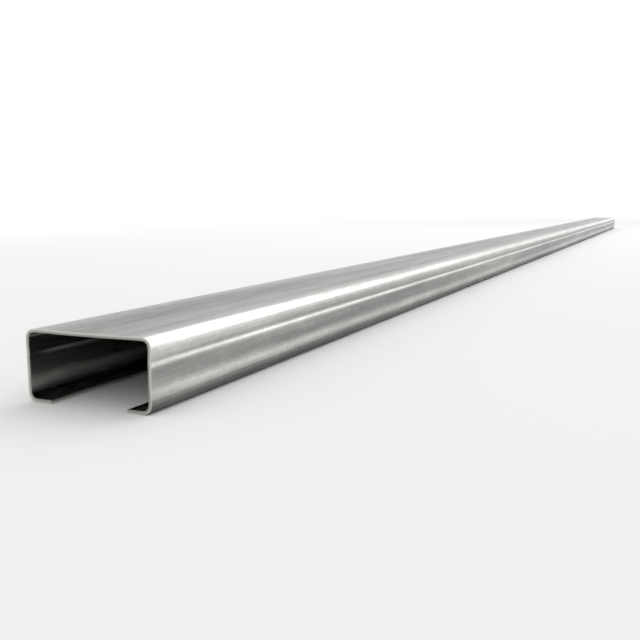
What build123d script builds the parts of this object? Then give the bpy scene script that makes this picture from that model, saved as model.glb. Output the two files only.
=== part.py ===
"""A C purlin: a lipped channel, cold roll-formed from one strip of galvanised steel.

It lies web up and rests on its two lips. Millimetres, +Z up.
The length runs along X, and the origin is the centre of the footprint.
"""

from build123d import *
import os

# The stock, as a price list gives it: web x flange x lip x thickness
length = 3000.0
web_width = 80.0
flange_width = 40.0
lip_depth = 15.0
sheet_thickness = 2.0

# The forming rolls leave this radius inside each of the four bends
inner_bend_radius = 3.0
outer_bend_radius = inner_bend_radius + sheet_thickness

# Half the web, and half the slot that the two slit edges leave between them
half_web = web_width / 2
half_slot = half_web - lip_depth

near_end = Plane.YZ.offset(-length / 2)

# The strip is bent along its outer face: lip, flange, web, flange, lip
with BuildPart() as c_purlin:
    with BuildSketch(near_end):
        with BuildLine():
            FilletPolyline(
                (-half_slot, 0),
                (-half_web, 0),
                (-half_web, flange_width),
                (half_web, flange_width),
                (half_web, 0),
                (half_slot, 0),
                radius=outer_bend_radius,
            )
            offset(amount=sheet_thickness, side=Side.RIGHT)
        make_face()
    extrude(amount=length)

c_purlin.part.label = "c_purlin"

os.makedirs("parts", exist_ok=True)
export_step(c_purlin.part, "parts/c_purlin.step")

print(f"section {c_purlin.part.volume / length:.1f} mm2, {c_purlin.part.bounding_box()}")
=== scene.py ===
from collections import namedtuple
import math

import bmesh
import bpy
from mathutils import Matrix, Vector, noise


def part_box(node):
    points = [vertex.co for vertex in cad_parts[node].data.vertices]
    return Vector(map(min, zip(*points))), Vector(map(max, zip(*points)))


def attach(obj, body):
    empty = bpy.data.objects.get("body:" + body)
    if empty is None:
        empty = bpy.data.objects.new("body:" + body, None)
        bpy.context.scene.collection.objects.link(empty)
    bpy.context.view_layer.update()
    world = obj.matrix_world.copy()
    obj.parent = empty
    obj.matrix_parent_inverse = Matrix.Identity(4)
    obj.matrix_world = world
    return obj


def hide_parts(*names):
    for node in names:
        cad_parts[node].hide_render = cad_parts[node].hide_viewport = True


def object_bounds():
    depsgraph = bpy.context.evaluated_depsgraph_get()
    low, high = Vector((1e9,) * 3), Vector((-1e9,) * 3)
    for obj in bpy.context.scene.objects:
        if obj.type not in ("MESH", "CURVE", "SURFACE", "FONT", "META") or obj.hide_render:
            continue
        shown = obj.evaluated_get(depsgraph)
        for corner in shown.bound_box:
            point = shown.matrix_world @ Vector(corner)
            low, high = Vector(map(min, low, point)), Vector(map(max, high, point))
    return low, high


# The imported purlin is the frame: metres, X along its length, Y across the web, Z up
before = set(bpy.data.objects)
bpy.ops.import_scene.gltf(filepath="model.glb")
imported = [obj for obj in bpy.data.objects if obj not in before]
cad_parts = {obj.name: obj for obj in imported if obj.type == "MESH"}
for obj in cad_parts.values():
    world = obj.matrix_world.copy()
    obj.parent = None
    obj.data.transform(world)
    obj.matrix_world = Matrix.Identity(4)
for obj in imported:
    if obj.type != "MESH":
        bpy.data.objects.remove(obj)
cad_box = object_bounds()

mm = 0.001

# The stock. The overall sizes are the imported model's, the rest is the section's own
low_corner, high_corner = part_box("c_purlin")
length = high_corner[0] - low_corner[0]
web_width = high_corner[1] - low_corner[1]
flange_width = high_corner[2] - low_corner[2]
lip_depth = 15 * mm
sheet_thickness = 2 * mm

# A roll-formed bend is one tight arc that runs out into the flats over two wide ones.
# Each arc has its radius, its angle and how many steps it is drawn in
tight_radius = 5 * mm
run_out_radius = 30 * mm
run_out_angle = math.radians(7)
bend_arcs = (
    (run_out_radius, run_out_angle, 3),
    (tight_radius, math.pi / 2 - 2 * run_out_angle, 8),
    (run_out_radius, run_out_angle, 3),
)

# The finish of the zinc is one number: 1 is rubbed bright by the rolls and partly a painted highlight, 0 is
# as it was dipped, and -1 is painted shade, darker zinc on the bends that fold the lips in. The rolls also
# rub a flat for a little way beside its bend
margin_width = 5.5 * mm

# A groove that a roll's rim pressed along a flat: how far in, half how wide, how deep, the finish of its
# rubbed slope, which is partly a painted highlight, and which slope that is, 1 for the one away from the bend
# and -1 for the one beside it
Groove = namedtuple("Groove", "inset half_width depth slope_finish slope")

# One side of a flat: the finish of its bend, if it has one, rubbed zinc with a painted highlight on the web's
# bends and painted shade on the lips' bends, and of the flat right beside it, and its groove
Side = namedtuple("Side", "bend_finish margin_finish groove")
slit_side = Side(None, 0.0, None)
# A bend finish of -0.6 is painted shade, and 1.0 is rubbed zinc with a painted highlight
lip_bend_side = Side(-0.6, 0.0, None)
above_lip = Side(-0.6, 0.3, Groove(5.0 * mm, 4.0 * mm, 0.18 * mm, 0.5, -1))
below_web = Side(1.0, 0.3, Groove(4.3 * mm, 1.8 * mm, 0.64 * mm, 1.0, 1))
on_web = Side(1.0, 0.4, Groove(3.2 * mm, 1.7 * mm, 0.08 * mm, 0.3, 1))

# A flat of the section: how many steps it is drawn in, how far it sinks as the strip springs back from
# the rolls, and its two sides
Flat = namedtuple("Flat", "name steps sink first_side last_side")
flats = (
    Flat("lip", 4, 0.15 * mm, slit_side, lip_bend_side),
    Flat("flange", 30, 0.45 * mm, above_lip, below_web),
    Flat("web", 28, 0.50 * mm, on_web, on_web),
    Flat("flange", 30, 0.45 * mm, below_web, above_lip),
    Flat("lip", 4, 0.15 * mm, lip_bend_side, slit_side),
)

# Along the purlin a flat sinks more and less, in long waves and short ones, each by a share of the sink.
# Its grooves stray to and fro too, by a share of their inset
long_wave = 260 * mm
long_wave_share = 0.45
short_wave = 90 * mm
short_wave_share = 0.25
stray_wave = 400 * mm
stray_share = 0.06

# Cutting lets go of the stress in the last stretch of the section: the flanges toe in,
# and the flats spring back out by a share of their sink
toe_in = 0.6 * mm
end_reach = 16 * mm
end_spring_back = 0.75

# A shear leaves the sheet's edges rounded over a short reach, and the cut between them rubbed smooth
# at first and then broken off unevenly
edge_reach = 0.14 * mm
edge_rounding = 0.04 * mm
rubbed_depth = 0.6 * mm
fracture_depth = 0.12 * mm

# A line along the outer face: its point in the section, the way out of the sheet there, the number of
# its flat or of the one before its bend, the bend's finish there, with painted highlight on the web's bends
# and painted shade on the lips' bends, its flat, and how far it is from that flat's two sides
Line = namedtuple("Line", "point outward run finish flat from_first from_last")

# The sockets of a Mix node share their names, so they go by number: its share, its two numbers, its two
# colours, and the mixed colour that comes out
mix_share = 0
number_a = 2
number_b = 3
colour_a = 6
colour_b = 7
mixed_colour = 2

# Most of what a noise texture gives lies between these
noise_low = 0.3
noise_high = 0.7


def node(tree, kind, inputs=None, **settings):
    """Adds a node. Each input is a value, or the socket or node that feeds it."""
    made = tree.nodes.new(kind)
    for name, value in settings.items():
        setattr(made, name, value)
    for name, value in (inputs or {}).items():
        source = value.outputs[0] if isinstance(value, bpy.types.Node) else value
        if isinstance(source, bpy.types.NodeSocket):
            tree.links.new(source, made.inputs[name])
        else:
            made.inputs[name].default_value = source
    return made


def linear(hex_colour):
    """An sRGB hex colour as the linear colour that a shader wants."""
    channels = [int(hex_colour[at : at + 2], 16) / 255 for at in (1, 3, 5)]
    return (*[c / 12.92 if c <= 0.04045 else ((c + 0.055) / 1.055) ** 2.4 for c in channels], 1.0)


def new_material(name):
    """A material with an empty node tree, and that tree."""
    material = bpy.data.materials.new(name)
    material.use_nodes = True
    material.node_tree.nodes.clear()
    return material, material.node_tree


def galvanised_skin():
    """Hot-dip galvanised strip with a minimised spangle, skin-passed and then roll-formed.

    To the eye it is a soft grey metal, clouded and faintly grained along its length. It is
    brighter and smoother on the bends beside the web, where the forming rolls rub the zinc and a
    highlight is painted on, and one slope of each groove has a painted highlight too. The bends that
    fold the lips in are darker, a painted shade.
    """
    material, tree = new_material("galvanised_skin")
    place = node(tree, "ShaderNodeTexCoord").outputs["Object"]

    def marks(kind, wide, long, **detail):
        """A pattern of marks that the rolls drew out along the strip, so wide and so long."""
        drawn_out = node(tree, "ShaderNodeMapping", {"Vector": place, "Scale": (wide / long, 1.0, 1.0)})
        return node(tree, kind, {"Vector": drawn_out, "Scale": 1 / wide, **detail})

    # Zinc crystals, each tilted its own way. Real ones are under 1 mm, drawn larger so that they show
    spangle = marks("ShaderNodeTexVoronoi", wide=2 * mm, long=4 * mm)
    spangle_tilt = node(tree, "ShaderNodeSeparateColor", {"Color": spangle.outputs["Color"]})
    # Cloudy tone from uneven wiping of the zinc
    cloud = marks("ShaderNodeTexNoise", wide=22 * mm, long=440 * mm, Detail=5.0)
    # Small mottles, where the zinc froze a little duller or brighter
    mottle = marks("ShaderNodeTexNoise", wide=7 * mm, long=45 * mm, Detail=3.0)
    # Hair lines from the rolls. Real ones are finer, drawn wider so that they show
    hair_line = marks("ShaderNodeTexNoise", wide=0.9 * mm, long=225 * mm, Detail=3.0)
    hair_line_depth = 0.02 * mm

    # A mix takes a share below 0 as 0, so the rubbed zinc with its painted highlight and the painted shade on
    # the lip bends each leave the other's places alone
    rubbed_and_sheen = node(tree, "ShaderNodeAttribute", attribute_name="finish").outputs["Fac"]
    painted_bend_shade = node(tree, "ShaderNodeMath", {0: rubbed_and_sheen, 1: -1.0}, operation="MULTIPLY")

    # The zinc's own grey, from cloud to cloud, and then over it the rubbed zinc, partly a painted highlight,
    # and the painted shade of the lip bends
    cloudy = node(tree, "ShaderNodeMapRange", {"Value": cloud, "From Min": noise_low, "From Max": noise_high})
    zinc = linear("#90908f")
    for share, laid_over in (
        (cloudy, linear("#c4c3c0")),
        (rubbed_and_sheen, linear("#f1f0ed")),
        (painted_bend_shade, linear("#5c5b59")),
    ):
        zinc = node(
            tree,
            "ShaderNodeMix",
            {mix_share: share, colour_a: zinc, colour_b: laid_over},
            data_type="RGBA",
        ).outputs[mixed_colour]

    # How far each kind of mark swings the grey, darker and lighter
    tone = 1.0
    for pattern, lowest, highest, swing in (
        (spangle_tilt, 0.0, 1.0, 0.06),
        (hair_line, noise_low, noise_high, 0.09),
        (mottle, noise_low, noise_high, 0.11),
    ):
        swung = node(
            tree,
            "ShaderNodeMapRange",
            {
                "Value": pattern,
                "From Min": lowest,
                "From Max": highest,
                "To Min": 1 - swing,
                "To Max": 1 + swing,
            },
        )
        tone = node(tree, "ShaderNodeMath", {0: tone, 1: swung}, operation="MULTIPLY")
    colour = node(tree, "ShaderNodeHueSaturation", {"Color": zinc, "Value": tone})

    # A darker mottle is rougher than a lighter one, and zinc that the rolls rubbed is smoother than both
    dark_roughness = 0.33
    light_roughness = 0.24
    rubbed_roughness = 0.18
    as_dipped = node(
        tree,
        "ShaderNodeMapRange",
        {
            "Value": mottle,
            "From Min": noise_low,
            "From Max": noise_high,
            "To Min": dark_roughness,
            "To Max": light_roughness,
        },
    )
    roughness = node(
        tree,
        "ShaderNodeMix",
        {mix_share: rubbed_and_sheen, number_a: as_dipped, number_b: rubbed_roughness},
        data_type="FLOAT",
    )
    relief = node(
        tree,
        "ShaderNodeBump",
        {"Height": hair_line, "Strength": 0.25, "Distance": hair_line_depth},
    )
    # The film of oxide on the zinc takes up part of the light that glances along it
    glancing_tint = linear("#d0d0d0")
    skin = node(
        tree,
        "ShaderNodeBsdfPrincipled",
        {
            "Base Color": colour,
            "Metallic": 1.0,
            "Roughness": roughness,
            "Specular Tint": glancing_tint,
            "Normal": relief,
        },
    )
    node(tree, "ShaderNodeOutputMaterial", {"Surface": skin})
    return material


def sheared_steel():
    """Bare mild steel, sheared: where the section was cut to length, and the strip slit to width.

    To the eye it is a pale line all round the end. It is smooth where the blade rubbed
    it, and grainy and duller where the sheet broke off.
    """
    material, tree = new_material("sheared_steel")
    place = node(tree, "ShaderNodeTexCoord").outputs["Object"]
    rubbed_and_sheen = node(tree, "ShaderNodeAttribute", attribute_name="finish").outputs["Fac"]
    # The grain of the break. The real one is finer, drawn coarser so that it shows
    grain_size = 0.5 * mm
    grain_depth = 0.05 * mm
    grain = node(tree, "ShaderNodeTexNoise", {"Vector": place, "Scale": 1 / grain_size, "Detail": 4.0})

    # The broken steel's grey, from grain to grain, and then the rubbed steel over it
    steel = linear("#7b7975")
    for share, laid_over in ((grain, linear("#b3b1ad")), (rubbed_and_sheen, linear("#c6c4bf"))):
        steel = node(
            tree,
            "ShaderNodeMix",
            {mix_share: share, colour_a: steel, colour_b: laid_over},
            data_type="RGBA",
        ).outputs[mixed_colour]

    broken_roughness = 0.5
    rubbed_roughness = 0.3
    roughness = node(
        tree,
        "ShaderNodeMix",
        {mix_share: rubbed_and_sheen, number_a: broken_roughness, number_b: rubbed_roughness},
        data_type="FLOAT",
    )
    relief = node(tree, "ShaderNodeBump", {"Height": grain, "Strength": 0.5, "Distance": grain_depth})
    cut = node(
        tree,
        "ShaderNodeBsdfPrincipled",
        {"Base Color": steel, "Metallic": 1.0, "Roughness": roughness, "Normal": relief},
    )
    node(tree, "ShaderNodeOutputMaterial", {"Surface": cut})
    return material


def bend_setback():
    """How far from the section's corner a bend ends and the flat begins."""
    turned = setback = 0.0
    for radius, angle, _ in bend_arcs:
        setback += radius * (math.sin(turned + angle) - math.sin(turned))
        turned += angle
    return setback


def section_lines():
    """The lines that run the whole length of the outer face, from slit edge to slit edge."""
    setback = bend_setback()
    widths = {
        "lip": lip_depth - setback,
        "flange": flange_width - 2 * setback,
        "web": web_width - 2 * setback,
    }
    # The lines of a flat lie closer together towards its bends, where the grooves are
    crowding = 0.4
    point = Vector((lip_depth - web_width / 2, 0.0))
    heading = math.pi
    outward = Vector((0.0, -1.0))
    lines = [Line(point, outward, 0, 0.0, flats[0], 0.0, widths["lip"])]
    for run, flat in enumerate(flats):
        width = widths[flat.name]
        along = Vector((math.cos(heading), math.sin(heading)))
        start = point
        for step in range(1, flat.steps + 1):
            share = step / flat.steps
            passed = width * (share - crowding * math.sin(2 * math.pi * share) / (2 * math.pi))
            point = start + along * passed
            lines.append(Line(point, outward, run, 0.0, flat, passed, width - passed))
        if run == len(flats) - 1:
            return lines
        before, after = flat.last_side, flats[run + 1].first_side
        finishes = (before.margin_finish, before.bend_finish, after.bend_finish, after.margin_finish)
        for arc, (radius, angle, steps) in enumerate(bend_arcs):
            centre = point - outward * radius
            for step in range(1, steps + 1):
                turned = heading - angle * step / steps
                outward = Vector((-math.sin(turned), math.cos(turned)))
                point = centre + outward * radius
                finish = finishes[arc] + (finishes[arc + 1] - finishes[arc]) * step / steps
                lines.append(Line(point, outward, run, finish, None, 0.0, 0.0))
            heading = turned


def stations():
    """Places along the purlin: close together at the cut ends, where the shape changes fast."""
    widest_gap = 12 * mm
    growth = 1.35
    gaps = [edge_reach]
    while gaps[-1] < widest_gap:
        gaps.append(gaps[-1] * growth)
    middle = length - 2 * sum(gaps)
    count = round(middle / widest_gap)
    places = [-length / 2]
    for gap in gaps + [middle / count] * count + gaps[::-1]:
        places.append(places[-1] + gap)
    return places


def wander(x, wave_length, lane):
    """A smooth number, mostly from -1 to 1, that wanders along the purlin, its own for each lane."""
    lane_gap = 7.3
    # The noise is 0 where its three coordinates are all whole numbers, so this one never is
    off_whole = 0.5
    return 2.0 * noise.noise(Vector((x / wave_length, lane * lane_gap, off_whole)))


def formed(x, line, near_end):
    """How far inside its nominal face the rolls left the sheet, and its finish: what the rolls rubbed, with
    painted highlights on the web's bends and groove slopes and painted shade on the lip bends.
    """
    flat = line.flat
    if not flat:
        return 0.0, line.finish
    width = line.from_first + line.from_last
    if flat.name == "lip":
        # A lip lifts towards its slit edge
        from_bend = line.from_last if line.run == 0 else line.from_first
        bowl = from_bend / width
    else:
        # A flange or a web is dished: it slopes in from both sides, and is flat between them
        slope_share = 0.35
        down_slope = min(min(line.from_first, line.from_last) / (slope_share * width), 1.0)
        bowl = down_slope**2 * (3 - 2 * down_slope)
    # All that wanders has a lane of its own, from its flat's number up to the next flat's
    swell = long_wave_share * wander(x, long_wave, line.run)
    ripple = short_wave_share * wander(x, short_wave, line.run + 0.5)
    depth = flat.sink * bowl * max(1 + swell + ripple, 0.0)
    finish = 0.0
    # A groove's slope is steepest, and rubbed brightest with its painted highlight, this many half widths
    # from the groove's bottom
    steepest = 0.7
    slope_sharpness = 1.2
    for side, from_side, lane in (
        (flat.first_side, line.from_first, line.run + 0.2),
        (flat.last_side, line.from_last, line.run + 0.7),
    ):
        finish = max(finish, side.margin_finish * math.exp(-((from_side / margin_width) ** 2)))
        groove = side.groove
        if groove:
            inset = groove.inset * (1 + stray_share * wander(x, stray_wave, lane))
            beyond = (from_side - inset) / groove.half_width
            depth += groove.depth * math.exp(-(beyond**2))
            from_steepest = slope_sharpness * (beyond - steepest * groove.slope)
            finish = max(finish, groove.slope_finish * math.exp(-(from_steepest**2)))
    return depth * (1 - end_spring_back * near_end), finish


def rolled_steel_purlin():
    """The whole purlin as one closed mesh: a sheet of real thickness, folded along its four bends."""
    lines = section_lines()
    places = stations()
    # How deep in the sheet the corners of the cuts lie, from its outer face to its inner one
    depths = [
        0.0,
        edge_reach,
        rubbed_depth,
        (rubbed_depth + sheet_thickness) / 2,
        sheet_thickness - edge_reach,
        sheet_thickness,
    ]
    last_rubbed = depths.index(rubbed_depth)
    far = len(places) - 1
    edge = len(lines) - 1
    inner = len(depths) - 1

    mesh = bmesh.new()
    # The finish, with its painted highlights and painted shade on the skin, goes to the materials through
    # this layer
    finishes = mesh.verts.layers.float.new("finish")
    corners = {}

    def corner(i, j, k):
        """The corner at a place along the purlin, on a line of its outer face and at a depth in the sheet."""
        if (i, j, k) in corners:
            return corners[i, j, k]
        x, line, depth = places[i], lines[j], depths[k]
        on_end = i in (0, far)
        on_slit = j in (0, edge)
        on_face = k in (0, inner)
        from_end = length / 2 - abs(x)
        near_end = math.exp(-((from_end / end_reach) ** 2))
        sunk, finish = formed(x, line, near_end)
        depth += sunk
        if on_face and (on_end or on_slit):
            depth += edge_rounding if k == 0 else -edge_rounding
        y, z = line.point - line.outward * depth
        # The flanges swing in from the web
        swing = toe_in * near_end * (flange_width - line.point.y) / flange_width
        y -= math.copysign(swing, line.point.x)
        if on_slit and (on_face or on_end):
            y += math.copysign(edge_rounding, y)
        if on_end and (on_face or on_slit):
            x -= math.copysign(edge_rounding, x)
        elif on_end and k >= last_rubbed:
            # The break gets deeper towards the inner face. It is uneven from line to line and from depth
            # to depth, and each end has its own
            line_gap = 0.9
            depth_gap = 3.1
            this_end = 1.0 if i else 2.0
            rough = 0.5 + 0.5 * noise.noise(Vector((j * line_gap, k * depth_gap, this_end)))
            x -= math.copysign(fracture_depth * rough * (depths[k] - edge_reach) / sheet_thickness, x)
        made = mesh.verts.new((x, y, z))
        if on_end or on_slit:
            # On a cut the finish is 1 where the blade rubbed the steel, and 0 where it broke
            finish = 1.0 if k <= last_rubbed else 0.0
        made[finishes] = finish
        corners[i, j, k] = made
        return made

    def face(material_index, *keys):
        """A face on these corners, in the material with this number in the purlin's list."""
        made = mesh.faces.new([corner(*key) for key in keys])
        made.smooth = True
        made.material_index = material_index

    skin, cut = 0, 1
    for i in range(far):
        for j in range(edge):
            face(skin, (i, j, 0), (i, j + 1, 0), (i + 1, j + 1, 0), (i + 1, j, 0))
            face(skin, (i, j, inner), (i + 1, j, inner), (i + 1, j + 1, inner), (i, j + 1, inner))
        for k in range(inner):
            face(cut, (i, 0, k), (i + 1, 0, k), (i + 1, 0, k + 1), (i, 0, k + 1))
            face(cut, (i, edge, k), (i, edge, k + 1), (i + 1, edge, k + 1), (i + 1, edge, k))
    for j in range(edge):
        for k in range(inner):
            face(cut, (0, j, k), (0, j, k + 1), (0, j + 1, k + 1), (0, j + 1, k))
            face(cut, (far, j, k), (far, j + 1, k), (far, j + 1, k + 1), (far, j, k + 1))

    data = bpy.data.meshes.new("c_purlin_steel")
    mesh.to_mesh(data)
    mesh.free()
    purlin = bpy.data.objects.new("c_purlin_steel", data)
    bpy.context.scene.collection.objects.link(purlin)
    data.materials.append(galvanised_skin())
    data.materials.append(sheared_steel())
    purlin.modifiers.new("even_shading", "WEIGHTED_NORMAL")
    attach(purlin, "root")
    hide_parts("c_purlin")


def pale_floor():
    """A plain white floor that keeps the purlin's shadow and runs out into the white behind it."""
    material, tree = new_material("pale_floor")
    board = node(tree, "ShaderNodeBsdfDiffuse", {"Color": linear("#f4f4f3")})
    backdrop = node(tree, "ShaderNodeEmission", {"Color": (1, 1, 1, 1), "Strength": 1.0})
    place = node(tree, "ShaderNodeTexCoord").outputs["Object"]
    # The floor stays in sight in a long oval round the purlin, half as wide as it is long.
    # To the side it fades out between these two distances
    fade_start = 0.8
    fade_end = 1.9
    oval = node(tree, "ShaderNodeMapping", {"Vector": place, "Scale": (0.5, 1.0, 1.0)})
    away = node(tree, "ShaderNodeVectorMath", {0: oval}, operation="LENGTH").outputs["Value"]
    run_out = node(
        tree,
        "ShaderNodeMapRange",
        {"Value": away, "From Min": fade_start, "From Max": fade_end},
        interpolation_type="SMOOTHSTEP",
    )
    sweep = node(tree, "ShaderNodeMixShader", {0: run_out, 1: board, 2: backdrop})
    node(tree, "ShaderNodeOutputMaterial", {"Surface": sweep})
    reach = 30.0
    just_below = 0.05 * mm
    mesh = bmesh.new()
    bmesh.ops.create_grid(mesh, x_segments=1, y_segments=1, size=reach)
    data = bpy.data.meshes.new("pale_floor")
    mesh.to_mesh(data)
    mesh.free()
    data.materials.append(material)
    floor = bpy.data.objects.new("pale_floor", data)
    floor.location.z = cad_box[0][2] - just_below
    bpy.context.scene.collection.objects.link(floor)


def softbox(name, place, aim, size, strength):
    """A rectangular soft light that fades towards its edges; strength is how bright its middle looks."""
    width, height = size
    light = bpy.data.lights.new(name, "AREA")
    light.shape = "RECTANGLE"
    light.size = width
    light.size_y = height
    light.energy = strength * math.pi * width * height
    light.use_nodes = True
    tree = light.node_tree
    tree.nodes.clear()
    across = node(tree, "ShaderNodeNewGeometry").outputs["Parametric"]
    from_middle = node(tree, "ShaderNodeVectorMath", {0: across, 1: (0.5, 0.5, 0.0)}, operation="SUBTRACT")
    from_middle = node(tree, "ShaderNodeVectorMath", {0: from_middle}, operation="ABSOLUTE")
    edges = node(tree, "ShaderNodeSeparateXYZ", {0: from_middle})
    # Its strength is full until half-way from its middle to its edge
    full_until = 0.25
    edge = 0.5
    fades = [
        node(
            tree,
            "ShaderNodeMapRange",
            {
                "Value": edges.outputs[axis],
                "From Min": full_until,
                "From Max": edge,
                "To Min": 1.0,
                "To Max": 0.0,
            },
            interpolation_type="SMOOTHSTEP",
        )
        for axis in (0, 1)
    ]
    soft = node(tree, "ShaderNodeMath", {0: fades[0], 1: fades[1]}, operation="MULTIPLY")
    glow = node(tree, "ShaderNodeEmission", {"Color": (1, 1, 1, 1), "Strength": soft})
    node(tree, "ShaderNodeOutputLight", {"Surface": glow})
    lamp = bpy.data.objects.new(name, light)
    lamp.location = place
    lamp.rotation_euler = (Vector(aim) - Vector(place)).to_track_quat("-Z", "Y").to_euler()
    lamp.visible_camera = False
    bpy.context.scene.collection.objects.link(lamp)


def studio():
    """A white surround, a little dimmer as a light than it looks, and two softboxes."""
    world = bpy.data.worlds.new("white_studio")
    bpy.context.scene.world = world
    world.use_nodes = True
    tree = world.node_tree
    tree.nodes.clear()
    rays = node(tree, "ShaderNodeLightPath")
    seen = rays.outputs["Is Camera Ray"]
    for sight in ("Is Glossy Ray", "Is Transmission Ray"):
        seen = node(tree, "ShaderNodeMath", {0: seen, 1: rays.outputs[sight]}, operation="MAXIMUM")
    fill = node(tree, "ShaderNodeBackground", {"Color": (1, 1, 1, 1), "Strength": 0.86})
    white = node(tree, "ShaderNodeBackground", {"Color": (1, 1, 1, 1), "Strength": 1.0})
    shown = node(tree, "ShaderNodeMixShader", {0: seen, 1: fill, 2: white})
    node(tree, "ShaderNodeOutputWorld", {"Surface": shown})

    near_x, near_y, _ = low_corner
    # A wall of light ahead and to the right, that the bends pick up all along the length.
    # It reaches below the floor, so that it is as bright down at the horizon as in its middle
    wall_middle = 0.7
    softbox(
        "end_wall_softbox",
        place=(5.0, -2.9, wall_middle),
        aim=(near_x, near_y, wall_middle),
        size=(9.5, 5.6),
        strength=0.55,
    )
    # Above it, so high that the web doesn't mirror it, the light for the upper half of the bends
    softbox(
        "overhead_softbox",
        place=(1.2, -0.2, 2.6),
        aim=(near_x, 0.0, 0.0),
        size=(5.0, 3.4),
        strength=0.9,
    )


def camera():
    """Looks at the near end, from the same side and height as in the photograph."""
    sight_distance = 0.43
    sight_azimuth = math.radians(35.0)
    sight_elevation = math.radians(14.5)
    sight = Vector(
        (
            math.cos(sight_elevation) * math.cos(sight_azimuth),
            math.cos(sight_elevation) * math.sin(sight_azimuth),
            -math.sin(sight_elevation),
        )
    )
    data = bpy.data.cameras.new("camera")
    data.sensor_width = 36.0
    data.lens = 47.0
    data.clip_start = 0.02
    data.clip_end = 100.0
    eye = bpy.data.objects.new("camera", data)
    eye.location = Vector(low_corner) - sight * sight_distance
    yaw = math.radians(23.4)
    pitch = math.radians(8.2)
    eye.rotation_euler = (math.pi / 2 - pitch, 0.0, yaw - math.pi / 2)
    bpy.context.scene.collection.objects.link(eye)
    bpy.context.scene.camera = eye


camera()
rolled_steel_purlin()
pale_floor()
studio()

bpy.context.scene.view_settings.view_transform = "Standard"
